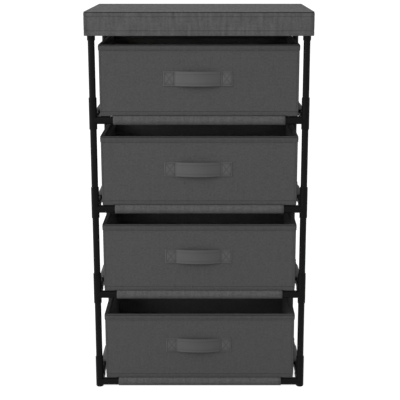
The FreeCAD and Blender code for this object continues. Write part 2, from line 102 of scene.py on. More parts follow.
def colour(name, meaning, grey):
    """A colour that a user may change. One number is a grey."""
    shade = (grey,) * 3 if isinstance(grey, float) else grey
    return FloatVectorProperty(
        name=name, description=meaning, default=shade, subtype="COLOR", min=0.0, max=1.0)


class RackSizes(PropertyGroup):
    """The sizes of the cloth's own details."""

    grid: length("Grid", "Longest step of a cloth surface", 0.0065)
    seam_step: length("Seam step", "Step of a cloth surface across a sewn line", 0.0006)
    seam_reach: length("Seam reach", "Distance beside a sewn line with the small steps", 0.0024)
    seam_width: length("Seam width", "Half width of the furrow along a sewn line", 0.0009)
    seam_depth: length("Seam depth", "Depth of the furrow along a sewn line", 0.0004)
    joint_step: length("Joint step", "Step of a cloth surface across two panels' joint", 0.0002)
    joint_reach: length("Joint reach", "Distance beside a joint with the least steps", 0.0010)
    joint_width: length("Joint width", "Half width of the furrow where two panels meet", 0.00050)
    joint_depth: length("Joint depth", "Depth of the furrow where two panels meet", 0.0013)
    joint_drop: length("Joint drop", "Rim of the cover or a drawer to the joint below it", 0.0013)
    rim_roll: length("Rim roll", "Radius of the roll above that joint", 0.0007)
    stitch: length("Stitch", "Length of a stitch", 0.0030)
    stitch_gap: length("Stitch gap", "Gap between stitches", 0.0014)
    thread: length("Thread", "Thickness of the thread", 0.0008)
    wave: length("Wave", "Height of the cloth's gentle waves", 0.00030)
    bulge: length("Bulge", "How far a drawer's walls stand out at their middle", 0.0006)
    lining_bulge: length("Lining bulge", "How far the lining stands in at its middle", 0.0004)
    corner: length("Corner", "Rounding of the upright corners", 0.0030)
    corner_line: length("Corner line", "Upright corner to the seam beside it", 0.0044)
    cover_cloth: length("Cover cloth", "Thickness of the cover's cloth", 0.0015)
    cover_line: length("Cover line", "Edges of the cover's skirt to its sewn lines", 0.0096)
    drawer_cloth: length("Drawer cloth", "Thickness of a drawer's cloth", 0.0012)
    drawer_wall: length("Drawer wall", "Thickness of a drawer's wall, cloth and board", 0.0059)
    hem_cloth: length("Hem cloth", "Thickness of the strip round a drawer's rim", 0.0010)
    hem_line: length("Hem line", "Rim of a drawer to the sewn line of its hem", 0.0088)
    hem_joint: length("Hem joint", "Depth of the furrow below a drawer's rim", 0.0009)
    base_line: length("Base line", "Underside of a drawer to its lowest seam", 0.0078)
    base_tuck: length("Base tuck", "How far a drawer draws in below its lowest seam", 0.0009)
    base_turn: length("Base turn", "Rounding of a drawer's lower edges", 0.0012)
    base_droop: length("Base droop", "How far the cloth hangs down at a drawer's corners", 0.0011)
    liner_line: length("Liner line", "Edge of a drawer's base liner to its sewn line", 0.0080)
    sheet_cloth: length("Sheet cloth", "Thickness of a shelf sheet", 0.0015)
    sheet_sag: length("Sheet sag", "Sag of a shelf sheet at its middle", 0.0015)
    sheet_lap: length("Sheet lap", "Rail axis to the seam that closes a sleeve", 0.0160)
    sleeve_gap: length("Sleeve gap", "End of a sleeve to the connector's arm", 0.0003)
    sleeve_ease: length("Sleeve ease", "Room in the sleeves of the side rails", 0.00005)
    side_notch: length("Side notch", "Bare rail from an arm to a side sleeve", 0.047)
    # Painted shade: the side sleeves darken towards their ends, where the front uprights shade
    # them.
    shaded_sleeve_end: length("Soiled end", "Length of the darker ends of those sleeves", 0.022)
    strap_cloth: length("Strap cloth", "Thickness of a strap", 0.0020)
    strap_tab: length("Strap tab", "Length of a strap's sewn end", 0.0240)
    strap_edge: length("Strap edge", "Rounding of a strap's edges", 0.0008)
    strap_line: length("Strap line", "Edge of a strap to its sewn lines", 0.0030)


class RackColours(PropertyGroup):
    """The colours of the finishes, as the light shows them."""

    cover: colour("Cover cloth", "Cloth of the cover", 0.085)
    sheet: colour("Sheet cloth", "Cloth of the shelf sheets", 0.080)
    drawer: colour("Drawer cloth", "Cloth of the drawers", 0.071)
    # Darker than the drawer cloth, as painted shade under the shelf above.
    hem: colour("Hem cloth", "Strip round the drawers' rims", 0.065)
    # Lighter than the drawer cloth, as painted light in the drawers' shaded insides.
    lining: colour("Lining", "Inside of the drawers", 0.107)
    strap: colour("Strap", "Webbing of the handles", 0.102)
    thread: colour("Thread", "Sewing thread", 0.062)
    plastic: colour("Plastic", "Moulded connectors and feet", 0.0038)
    tube: colour("Tube", "Powder coat of the steel tubes", 0.0038)
    board: colour("Board", "Pressed fibre board", (0.20, 0.135, 0.080))
    floor: colour("Floor", "Studio floor, as it lights the rack", 0.55)


class RackStudio(PropertyGroup):
    """The light and the camera."""

    key: amount("Key light", "Soft lamp at the front left", 84.0, unit="POWER")
    sky: amount("Sky", "Strength of the light from all round", 0.98)
    floor_glow: amount("Floor glow", "White that the camera sees of the floor itself", 0.88)
    floor_pale: amount("Floor pale", "How much light the camera sees on the floor", 0.26)
    eye_height: length("Eye height", "Camera above the floor", 0.9049)
    eye_distance: length("Eye distance", "Camera in front of the rack's middle", 2.15)
    eye_side: length("Eye side", "Camera to the right of the rack's middle", 0.0199)
    pitch: amount("Pitch", "Camera's tilt below level", math.radians(13.24), unit="ROTATION")
    lens: amount("Lens", "Focal length in millimetres", 91.7)


SETTINGS = {"rack_sizes": RackSizes, "rack_colours": RackColours, "rack_studio": RackStudio}


def sizes():
    """The scene's sizes."""
    return bpy.context.scene.rack_sizes


def colours():
    """The scene's colours."""
    return bpy.context.scene.rack_colours


# ------------------------------------------------------------------ lines and outlines


def placed(*axes):
    """Points from their coordinates, which may be numbers or arrays that fit one another."""
    return np.stack(np.broadcast_arrays(*axes), -1)


def unit(ways):
    """Directions of length one."""
    return ways / np.linalg.norm(ways, axis=-1, keepdims=True)


def gaps(points):
    """The distance from each point of a line to the next."""
    return np.linalg.norm(np.diff(points, axis=0), axis=1)


def run_along(points):
    """How far along a line each of its points lies: the gaps added up."""
    return np.concatenate([[0.0], np.cumsum(gaps(points))])


def looked_up(places, run, points):
    """The points of a line at places along its run, on straight lines between its points."""
    return np.stack([np.interp(places, run, axis) for axis in points.T], -1)


def spaced(low, high, pitch, lines=(), joints=()):
    """Steps from low to high, none longer than the pitch.

    They are close beside each sewn line, and closer still beside each joint of two panels.
    """
    cloth = sizes()
    steps = np.linspace(low, high, max(1, math.ceil((high - low) / pitch)) + 1)
    marks = [(line, cloth.seam_step, cloth.seam_reach) for line in lines]
    marks += [(joint, cloth.joint_step, cloth.joint_reach) for joint in joints]
    for mark, step, reach in marks:
        close = mark + step * np.arange(-round(reach / step), round(reach / step) + 1)
        steps = np.concatenate((steps[np.abs(steps - mark) > reach + step / 2], close))
    spare = cloth.joint_step / 2
    steps = steps[(steps > low + spare) & (steps < high - spare)]
    return np.unique(np.concatenate(([low], steps, [high])))


def divided(points, pitch):
    """A line of points with its long runs cut into equal steps no longer than the pitch."""
    points = np.asarray(points, float)
    steps = np.maximum(1, np.ceil(gaps(points) / pitch)).astype(int)
    place = np.concatenate([i + np.arange(n) / n for i, n in enumerate(steps)] + [[len(steps)]])
    return looked_up(place, np.arange(len(points)), points)


def arc(centre, radius, start, end, steps):
    """Points on a circle from one angle to another, in degrees."""
    angle = np.radians(np.linspace(start, end, steps + 1))
    return placed(centre[0] + radius * np.cos(angle), centre[1] + radius * np.sin(angle))


def joined(*runs):
    """One line from runs that meet end to end, and the number of each point's run."""
    kept = [runs[0]] + [
        run[1:] if np.allclose(run[0], before[-1], atol=MERGED) else run
        for before, run in zip(runs, runs[1:])]
    return np.concatenate(kept), np.repeat(np.arange(len(kept)), [len(run) for run in kept])


def dip(distance, width):
    """The cross-section of a furrow: e to the minus square of distance over width."""
    return np.exp(-np.square(distance / width))


def ramp(share):
    """A smooth rise from zero at zero to one at one: three squares less two cubes."""
    share = np.clip(share, 0, 1)
    return share * share * (3 - 2 * share)


def waves(x, y, seed, scale, count=6, spread=(0.6, 1.6)):
    """Gentle waves between -1 and 1: the mean of sines that differ in way, length and phase."""
    draw = np.random.default_rng(seed)
    angle = draw.uniform(0, math.pi, count)
    pace = 2 * math.pi / (scale * draw.uniform(*spread, count))
    phase = draw.uniform(0, 2 * math.pi, count)
    return sum(
        np.sin(k * (x * math.cos(a) + y * math.sin(a)) + p)
        for a, k, p in zip(angle, pace, phase)) / count


class Outline:
    """A rectangle with rounded corners, run once round from its front left corner.

    A place on it is a place on a unit square that stands still at each corner, plus a normal
    that turns a quarter there. With half sizes a and b and corner radius r the point is
    square * (a - r, b - r) + r * normal, so a larger or smaller outline has the same places.
    """

    def __init__(self, low, high, lines=(), corner_steps=6):
        cloth = sizes()
        self.centre = np.array([low[0] + high[0], low[1] + high[1]]) / 2
        self.half = np.array([high[0] - low[0], high[1] - low[1]]) / 2
        self.radius = cloth.corner
        corners = np.array([(-1, -1), (1, -1), (1, 1), (-1, 1), (-1, -1)], float)
        marks = [line - self.radius for line in lines]
        bend = np.linspace(0, 1, corner_steps + 1)[1:-1]
        square, turn = [], []
        for side in range(4):
            straight = 2 * (self.half[side % 2] - self.radius)
            places = spaced(0.0, straight, cloth.grid, marks + [straight - m for m in marks])
            share = (places / straight)[:, None]
            square.append(corners[side] * (1 - share) + corners[side + 1] * share)
            square.append(np.repeat(corners[side + 1][None], len(bend), 0))
            turn += [np.full(len(places), side - 1.0), side - 1 + bend]
        self.square = np.concatenate(square + [corners[:1]])
        angle = np.concatenate(turn + [[3.0]]) * math.pi / 2
        self.normal = placed(np.cos(angle), np.sin(angle))

    def carry(self, profile, shift=0.0):
        """Carry a profile of (out, height) round the outline.

        The outline grows by out at each point of the profile. Its corner radius grows with it
        and stops at zero. Shift moves the points along the outline's normal.
        """
        out, height = np.asarray(profile, float).T
        radius = np.maximum(self.radius + out, 0.0)
        inner = self.half[None, :] + (out - radius)[:, None]
        reach = (radius[:, None] + shift) * np.ones(len(self.square))
        flat = self.square[None] * inner[:, None] + self.normal[None] * reach[..., None]
        flat = flat + self.centre
        return placed(flat[..., 0], flat[..., 1], height[:, None])

    def from_corner(self):
        """How far each place is from the end of its side, in metres."""
        return ((1 - np.abs(self.square)) * (self.half - self.radius)).sum(1) + self.radius

    def middle(self):
        """One in the middle of each side and zero at the corners."""
        return 1 - np.square(np.abs(self.square).min(1))

    def outward(self):
        """The outline's normals as directions in space."""
        return np.pad(self.normal, ((0, 0), (0, 1)))


# ------------------------------------------------------------------ meshes


def grid_faces(rows, columns):
    """The four-cornered faces of a grid whose points are numbered row by row."""
    number = np.arange(rows * columns).reshape(rows, columns)
    around = (number[:-1, :-1], number[:-1, 1:], number[1:, 1:], number[1:, :-1])
    return np.stack(around, -1).reshape(-1, 4)


def across(points, faces):
    """Each corner's place on flat cloth: the two coordinates that its face lies along.

    A face that looks mostly up or down has x and y, one to the front or back has x and z, and
    one to a side has y and z.
    """
    corner = points[faces]
    normal = np.abs(np.cross(corner[:, 2] - corner[:, 0], corner[:, 3] - corner[:, 1]))
    keep = np.array([(1, 2), (0, 2), (0, 1)])[normal.argmax(1)]
    return np.take_along_axis(corner, keep[:, None, :], 2)


def put_in(name, data):
    """Put a mesh, a lamp or a camera into the scene as an object."""
    thing = bpy.data.objects.new(name, data)
    bpy.context.scene.collection.objects.link(thing)
    return thing


class Patches:
    """Grids of points that are sewn together into one piece."""

    def __init__(self):
        self.points, self.faces, self.flat, self.seam, self.finish = [], [], [], [], []
        self.count = 0

    def add(self, points, seam=0.0, flat=None, finish=0):
        """Add a grid of points, or many like ones at once, and give back the patches.

        Seam is how dark each point is painted, as painted shade along seams and joints, in
        creases and in shaded places. Flat is its place on the cloth, and finish is the number of
        each face's finish.
        """
        grids = points.reshape(-1, *points.shape[-3:])
        count, rows, columns = grids.shape[:3]
        first = rows * columns * np.arange(count)
        faces = (grid_faces(rows, columns)[None] + first[:, None, None]).reshape(-1, 4)
        loose = grids.reshape(-1, 3)
        self.points.append(loose)
        self.faces.append(faces + self.count)
        self.flat.append(across(loose, faces) if flat is None else flat.reshape(-1, 2)[faces])
        self.seam.append(np.broadcast_to(seam, grids.shape[:3]).ravel())
        self.finish.append(np.broadcast_to(finish, len(faces)))
        self.count += len(loose)
        return self

    def stitch(self, line, outward):
        """Add a row of stitches along a line of points.

        A stitch is a spindle. At t from -1 to 1 along it, its radius is half the thread times
        the square root of 1 - t squared. It lies along the line and sinks a quarter of the
        thread in.
        """
        cloth = sizes()
        run = run_along(line)
        count = max(1, int(run[-1] // (cloth.stitch + cloth.stitch_gap)))
        middle = (np.arange(count) + 0.5) * run[-1] / count
        ends = looked_up(middle[:, None] + np.array([-0.5, 0.5]) * cloth.stitch, run, line)
        along = unit(ends[:, 1] - ends[:, 0])
        side = unit(np.cross(looked_up(middle, run, np.broadcast_to(outward, line.shape)), along))
        t = np.array([-1.0, -0.75, 0.0, 0.75, 1.0])[:, None]
        angle = np.linspace(0, 2 * math.pi, 6)
        radius = cloth.thread / 2 * np.sqrt(1 - np.square(t))
        spindle = (
            (t * cloth.stitch / 2, along),
            (radius * np.cos(angle), side),
            (radius * np.sin(angle) - cloth.thread / 4, np.cross(along, side)))
        self.add(sum(
            (reach[..., None] * way[:, None, None] for reach, way in spindle),
            start=ends.mean(1)[:, None, None]))

    def sew(self, name, finishes, body, slot, stands_for=None):
        """Make the piece: equal points become one, and faces turn outwards.

        It rides on its body, and may stand for one of the packed solids.
        """
        mesh = bpy.data.meshes.new(name)
        mesh.from_pydata(np.concatenate(self.points), [], np.concatenate(self.faces))
        flat = mesh.uv_layers.new(name="flat")
        flat.data.foreach_set("uv", np.concatenate(self.flat).astype(np.float32).ravel())
        seam = mesh.attributes.new("seam", "FLOAT", "POINT")
        seam.data.foreach_set("value", np.concatenate(self.seam).astype(np.float32))
        mesh.polygons.foreach_set("material_index", np.concatenate(self.finish).astype(np.int32))
        for finish in finishes:
            mesh.materials.append(finish_named(finish))
        work = bmesh.new()
        work.from_mesh(mesh)
        bmesh.ops.remove_doubles(work, verts=work.verts, dist=MERGED)
        bmesh.ops.dissolve_degenerate(work, edges=work.edges, dist=MERGED)
        bmesh.ops.recalc_face_normals(work, faces=work.faces)
        work.to_mesh(mesh)
        work.free()
        mesh.polygons.foreach_set("use_smooth", np.ones(len(mesh.polygons), bool))
        mesh.set_sharp_from_angle(angle=SHARP_EDGE)
        piece = put_in(name, mesh)
        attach(piece, body)
        if stands_for:
            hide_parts(stands_for)
        return piece


def sew_rows(name, body, slot, rows):
    """Sew rows of stitches as one piece. A row is a line of points and its outward way."""
    threads = Patches()
    for line, outward in rows:
        threads.stitch(line, outward)
    return threads.sew(name, ["thread"], body, slot)


# ------------------------------------------------------------------ node materials


class Wire:
    """A node's output. Sums with it add Math nodes."""

    def __init__(self, nodes, socket):
        self.nodes, self.socket = nodes, socket

    def maths(self, operation, *values):
        """The result of a Math node."""
        return self.nodes.add("ShaderNodeMath", {"operation": operation}, dict(enumerate(values)))

    def __add__(self, other):
        return self.maths("ADD", self, other)

    def __sub__(self, other):
        return self.maths("SUBTRACT", self, other)

    def __rsub__(self, other):
        return self.maths("SUBTRACT", other, self)

    def __mul__(self, other):
        return self.maths("MULTIPLY", self, other)

    __radd__, __rmul__ = __add__, __mul__

    def sine(self):
        """The sine of this value."""
        return self.maths("SINE", self)

    def either(self, other):
        """The greater of two values."""
        return self.maths("MAXIMUM", self, other)

    def apart(self):
        """The three parts of a vector."""
        part = self.nodes.add("ShaderNodeSeparateXYZ", {}, {"Vector": self})
        return [part.beside(axis) for axis in "XYZ"]

    def beside(self, output):
        """Another output of the same node."""
        return Wire(self.nodes, self.socket.node.outputs[output])


class Nodes:
    """The node tree of a material or a world."""

    def __init__(self, owner):
        owner.use_nodes = True
        self.tree = owner.node_tree

    def feed(self, node, sockets):
        """Give a node's sockets their values or links."""
        for socket, value in sockets.items():
            if isinstance(value, Wire):
                self.tree.links.new(value.socket, node.inputs[socket])
            else:
                node.inputs[socket].default_value = value

    def add(self, kind, settings, sockets, output=0):
        """Add a node: first its settings, then the values or links of its sockets."""
        node = self.tree.nodes.new(kind)
        for setting, value in settings.items():
            setattr(node, setting, value)
        self.feed(node, sockets)
        return Wire(self, node.outputs[output])

    def show(self, ending, lighting, seen):
        """Light the scene with one shader, and show another.

        The other one shows to the camera, in reflections and through glass.
        """
        camera = self.add("ShaderNodeLightPath", {}, {}, "Is Camera Ray")
        shown = camera.either(camera.beside("Is Glossy Ray"))
        shown = shown.either(camera.beside("Is Transmission Ray"))
        mixed = self.add("ShaderNodeMixShader", {}, {0: shown, 1: lighting, 2: seen})
        self.feed(self.tree.nodes[ending], {"Surface": mixed})


class Finish(Nodes):
    """A material built up in layers, whose nodes feed one Principled shader."""

    def __init__(self, name, base, roughness, specular, **fixed):
        self.material = bpy.data.materials.new(name)
        super().__init__(self.material)
        self.base = tuple(base)
        self.material.diffuse_color = (*self.base, 1.0)
        self.parts = {"shade": 1.0, "rough": roughness, "relief": 0.0}
        self.shader = self.tree.nodes["Principled BSDF"]
        self.feed(self.shader, {"Specular IOR Level": specular})
        self.feed(self.shader, {socket.replace("_", " "): fixed[socket] for socket in fixed})

    def flat(self):
        """The place on the flat cloth, in metres."""
        return self.add("ShaderNodeUVMap", {"uv_map": "flat"}, {})

    def place(self):
        """The place in the rack's own space, in metres."""
        return self.add("ShaderNodeTexCoord", {}, {}, "Object")

    def noise(self, vector, size, detail=2.0):
        """Clouds from -0.5 to 0.5 about as large as the size, in metres along each axis."""
        size = (size,) * 3 if isinstance(size, float) else size
        scaled = self.add(
            "ShaderNodeVectorMath", {"operation": "MULTIPLY"},
            {0: vector, 1: [1 / s for s in size]})
        return self.add(
            "ShaderNodeTexNoise", {}, {"Vector": scaled, "Scale": 1.0, "Detail": detail}) - 0.5

    def layer(self, value, **shares):
        """Add a value to the shade, the roughness or the relief, times its share of each."""
        for part, share in shares.items():
            self.parts[part] = self.parts[part] + value * share

    def made(self, depth, seam_shade=0.0):
        """Feed the shader, and give back the material.

        The colour is the base times the shade, and darker by seam_shade where the seam
        attribute paints shade. A relief of 1 stands out by depth.
        """
        shade = self.parts["shade"]
        if seam_shade:
            seam = self.add("ShaderNodeAttribute", {"attribute_name": "seam"}, {}, "Fac")
            shade = shade * (1.0 - seam * seam_shade)
        self.feed(self.shader, {
            "Roughness": self.parts["rough"],
            "Base Color": self.add(
                "ShaderNodeVectorMath", {"operation": "SCALE"}, {0: self.base, "Scale": shade}),
            "Normal": self.add(
                "ShaderNodeBump", {},
                {"Strength": 1.0, "Distance": depth, "Height": self.parts["relief"]})})
        return self.material


def embossed(name, base, square, streak, mottle, seam_shade):
    """Non-woven cloth with fine embossed squares.

    The squares are the product of a sine across and a sine along the cloth, one wave to two
    squares. Uneven fibres make long streaks both ways, fine clouds mottle the dye, and larger
    patches and a slow fade change its shade a little.
    """
    finish = Finish(
        name, base, roughness=0.95, specular=0.03, Sheen_Weight=0.01, Sheen_Roughness=0.5)
    flat = finish.flat()
    x, y, _ = flat.apart()
    pace = math.pi / square
    finish.layer((x * pace).sine() * (y * pace).sine(), shade=0.06, relief=0.5)
    finish.layer(finish.noise(flat, size=(0.0065, 0.045, 1.0)), shade=streak, relief=0.6)
    finish.layer(finish.noise(flat, size=(0.045, 0.005, 1.0)), shade=0.3 * streak, relief=0.6)
    finish.layer(finish.noise(flat, size=0.004, detail=3.0), shade=mottle, relief=0.9)
    finish.layer(finish.noise(flat, size=0.014), shade=0.25 * mottle)
    finish.layer(finish.noise(flat, size=0.09, detail=1.0), shade=0.05)
    return finish.made(depth=0.22 * square, seam_shade=seam_shade)


def webbing(name, base, rib, seam_shade):
    """Narrow webbing: fine ribs run along it, crossed by a finer weave."""
    finish = Finish(
        name, base, roughness=0.9, specular=0.15, Sheen_Weight=0.08, Sheen_Roughness=0.4)
    flat = finish.flat()
    x, y, _ = flat.apart()
    ribs = (y * (2 * math.pi / rib)).sine()
    cross = (x * (2 * math.pi / (0.6 * rib))).sine()
    finish.layer(ribs, shade=0.05, relief=0.6)
    finish.layer(cross, relief=0.25)
    finish.layer(cross * ribs, shade=0.03)
    finish.layer(finish.noise(flat, size=0.003, detail=3.0), shade=0.10, relief=0.6)
    finish.layer(finish.noise(flat, size=(0.05, 0.003, 1.0)), shade=0.10)
    return finish.made(depth=0.18 * rib, seam_shade=seam_shade)


def twisted(name, base, turn):
    """Twisted thread: slanting bands, one to each turn."""
    finish = Finish(name, base, roughness=0.7, specular=0.25)
    x, y, z = finish.place().apart()
    finish.layer(((x + y + z) * (2 * math.pi / turn)).sine(), shade=0.12, relief=1.0)
    return finish.made(depth=0.0001)


def moulded(name, base, grain):
    """Spark-eroded plastic: a fine even grain with slightly worn, paler patches."""
    finish = Finish(name, base, roughness=0.5, specular=0.07)
    place = finish.place()
    finish.layer(finish.noise(place, grain, detail=4.0), shade=0.5, rough=0.12, relief=1.0)
    finish.layer(finish.noise(place, size=0.02, detail=3.0), shade=0.5, rough=0.10)
    return finish.made(depth=0.00012)


def powder_coated(name, base, peel):
    """Powder coat on steel: a shallow orange peel under a satin gloss, and long smears."""
    finish = Finish(name, base, roughness=0.4, specular=0.08)
    place = finish.place()
    finish.layer(finish.noise(place, peel), shade=0.3, rough=0.08, relief=1.0)
    finish.layer(finish.noise(place, size=(0.02, 0.02, 0.12)), shade=0.4, rough=0.12)
    return finish.made(depth=0.0001)


def pressed(name, base, fibre):
    """Pressed fibre board: short fibres, darker flecks and wide stains, all dull."""
    finish = Finish(name, base, roughness=0.85, specular=0.2)
    place = finish.place()
    finish.layer(finish.noise(place, fibre, detail=3.0), shade=0.5, relief=1.0)
    finish.layer(finish.noise(place, size=0.0014), shade=0.4, relief=0.6)
    finish.layer(finish.noise(place, size=0.08), shade=0.25)
    return finish.made(depth=0.0002)


# Each colour's maker, its material's name and the maker's own values: for cloth the size of its
# squares and how strong its streaks, its mottling and the painted shade of its seams are.
FINISHES = {
    "cover": (embossed, "Cover cloth", 0.0011, 0.70, 0.65, 0.75),
    "sheet": (embossed, "Sheet cloth", 0.0011, 0.55, 0.90, 0.40),
    "drawer": (embossed, "Drawer cloth", 0.0009, 0.12, 0.55, 0.45),
    "hem": (embossed, "Hem cloth", 0.0009, 0.30, 0.50, 0.60),
    "lining": (embossed, "Lining cloth", 0.0009, 0.12, 0.50, 0.45),
    "strap": (webbing, "Strap webbing", 0.0016, 0.40),
    "thread": (twisted, "Sewing thread", 0.0006),
    "plastic": (moulded, "Moulded plastic", 0.0009),
    "tube": (powder_coated, "Powder coat", 0.0022),
    "board": (pressed, "Pressed board", (0.006, 0.0012, 0.0012)),
}
made_finishes = {}


def finish_named(name):
    """The finish of that name, made when it is first wanted."""
    if name not in made_finishes:
        maker, title, *values = FINISHES[name]
        made_finishes[name] = maker(title, getattr(colours(), name), *values)
    return made_finishes[name]


# ------------------------------------------------------------------ pieces


def dress_solid(node, finish):
    """Give a packed solid one finish all over."""
    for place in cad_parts[node].material_slots:
        place.material = finish_named(finish)


def sew_cover():
    """Sew the cover: one closed cloth box, its two rows of stitches and the joint at its rim.

    The profile runs from the middle of the ceiling out, down the inside of the skirt, round its
    lower edge, up the outside, over the rim and in to the middle of the top. The top sinks in
    gentle waves, and the skirt sways by waves that grow from nothing at the rim.
    """
    cloth = sizes()
    low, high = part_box("cover_fabric")
    thick, roll = cloth.cover_cloth, cloth.rim_roll
    still_margin, joint_shadow, faint = 20 * thick, 1.3 * cloth.joint_width, 0.3
    outline = Outline(low, high)
    middle = -outline.half[1]
    lines = (low.z + cloth.cover_line, high.z - cloth.cover_line)
    joint = high.z - cloth.joint_drop
    ceiling, turn = high.z - thick, low.z + thick / 2
    profile, part = joined(
        divided([(middle, ceiling), (-thick, ceiling), (-thick, turn)], cloth.grid),
        arc((-thick / 2, turn), thick / 2, 180, 360, 6),
        placed(0.0, spaced(turn, high.z - roll, cloth.grid, lines, (joint,))),
        arc((-roll, high.z - roll), roll, 0, 90, 5),
        divided([(-roll, high.z), (middle, high.z)], cloth.grid))
    outer, top = (part == 2) | (part == 3), part == 4
    height = profile[:, 1].copy()
    sewn = sum(dip(height - line, cloth.seam_width) for line in lines)
    profile[:, 0] -= outer * (
        cloth.joint_depth * dip(height - joint, cloth.joint_width) + cloth.seam_depth * sewn)
    points = outline.carry(profile)
    x, y, z = np.moveaxis(points, -1, 0).copy()
    sink = cloth.wave * (waves(x, y, seed=11, scale=0.16) - 1)
    points[..., 2] += (top * ramp(-profile[:, 0] / still_margin))[:, None] * sink
    hang = np.clip((joint - height) / (joint - low.z), 0, 1)[:, None] * outline.middle()
    sway = hang * cloth.wave * waves(x - y, z, seed=12, scale=0.12)
    points[..., :2] += sway[..., None] * outline.normal
    # Painted shade in the joint below the rim, along the sewn lines and at the corner folds.
    seam = outer * (dip(height - joint, joint_shadow) + faint * sewn)
    fold_shade = faint * outer[:, None] * dip(outline.from_corner() - cloth.corner, cloth.seam_width)
    cover = Patches().add(points, seam=np.clip(seam[:, None] + fold_shade, 0, 1)).sew(
        "cover_cloth", ["cover"], "cover", "cover_cloth", "cover_fabric")
    stitches = sew_rows("cover_stitches", "cover", "cover_cloth", (
        (outline.carry([(-cloth.seam_depth, line)])[0], outline.outward()) for line in lines))


def sleeve_wrap(radius, thick, lap):
    """The section of a sheet's sleeve, from over its rail's axis, and how far each point runs.

    It is a circle about the axis, from the top round the outside and below to the inside, and
    then a straight lap that comes up against the sheet's underside and runs past its seam.
    """
    ring = arc((0.0, 0.0), radius, 90, -195, 34)
    under, meets, ends = radius - 2 * thick, -0.72 * lap, -1.25 * lap
    wrap, _ = joined(ring, divided([ring[-1], (meets, under), (ends, under)], pitch=0.004))
    return wrap, run_along(wrap)


def sew_shelf(tier):
    """Sew a shelf sheet: flat between the rails, and wrapped round each rail as a sleeve.

    The sheet sags by the product of 1 - x squared and 1 - y squared, each measured from its
    middle to the rails. Past the sleeves on the cross rails it also comes down to the height of
    the tighter sleeves on the side rails.
    """
    cloth = sizes()
    low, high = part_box(f"shelf_{tier}")
    side_low, side_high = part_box(f"side_rails_{tier}")
    cross_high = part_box(f"cross_rails_{tier}")[1]
    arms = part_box(f"{CONNECTORS[tier]}_front_left")[1]
    thick, seam_shade = cloth.sheet_cloth, 0.5
    axis, radius = (high.z + low.z) / 2, (high.z - low.z) / 2
    tube = (side_high.z - side_low.z) / 2
    tight = tube + thick + cloth.sleeve_ease
    rail_x, rail_y = side_high.x - tube, cross_high.y - tube
    end_x, end_y = -arms.x - cloth.sleeve_gap, -arms.y - cloth.side_notch
    seam_x, seam_y = rail_x - cloth.sheet_lap, rail_y - cloth.sheet_lap

    def top(x, y):
        """The height of the sheet's top."""
        sag = np.clip(1 - np.square(x / rail_x), 0, 1) * np.clip(1 - np.square(y / rail_y), 0, 1)
        down = (radius - tight) * ramp((np.abs(x) - end_x) / (rail_x - end_x))
        return axis + radius - cloth.sheet_sag * sag - down

    patches = Patches()
    ys = spaced(-rail_y, rail_y, cloth.grid, (-seam_y, seam_y))
    for end in (-end_y, end_y):
        ys[np.abs(ys - end).argmin()] = end
    xs = spaced(-end_x, end_x, cloth.grid)[:, None]
    between = ys[np.abs(ys) < end_y + MERGED]
    furrow = dip(np.abs(ys) - seam_y, cloth.seam_width)
    # Painted shade along the sewn lines.
    patches.add(placed(xs, ys, top(xs, ys) - cloth.seam_depth * furrow), seam=seam_shade * furrow)
    # Painted shade: the side sleeves darken towards their ends, where the front uprights shade
    # them.
    sleeve_end_shade = ramp((np.abs(between) - end_y + cloth.shaded_sleeve_end) / cloth.shaded_sleeve_end)
    wide, wide_run = sleeve_wrap(radius, thick, cloth.sheet_lap)
    narrow, narrow_run = sleeve_wrap(tight, thick, cloth.sheet_lap)
    for side in (-1, 1):
        patches.add(
            placed(xs, side * (rail_y + wide[:, 0]), axis + wide[:, 1]),
            flat=placed(xs, side * (rail_y + wide_run)))
        out = side * spaced(end_x, rail_x, cloth.grid, (seam_x,))[:, None]
        furrow = dip(np.abs(out) - seam_x, cloth.seam_width)
        patches.add(
            placed(out, between, top(out, between) - cloth.seam_depth * furrow),
            seam=np.clip(seam_shade * furrow + sleeve_end_shade, 0, 1))
        ends = between[:, None]
        patches.add(
            placed(side * (rail_x + narrow[:, 0]), ends, axis + narrow[:, 1]),
            flat=placed(side * (rail_x + narrow_run), ends), seam=sleeve_end_shade[:, None])
    sheet = patches.sew(
        f"shelf_{tier}_cloth", ["sheet"], "frame", "shelf_cloth", f"shelf_{tier}")
    solid = sheet.modifiers.new("cloth", "SOLIDIFY")
    solid.thickness, solid.offset = thick, -1.0

    rows = []
    for side in (-1, 1):
        for x, y in ((xs[:, 0], side * seam_y), (side * seam_x, between)):
            rows.append((placed(x, y, top(x, y) - cloth.seam_depth), UP))
    stitches = sew_rows(f"shelf_{tier}_stitches", "frame", "shelf_cloth", rows)
    cut_x, cut_y = 2 * (rail_x + narrow_run[-1]), 2 * (rail_y + wide_run[-1])
    2 * end_x * cut_y + 2 * end_y * (cut_x - 2 * end_x)


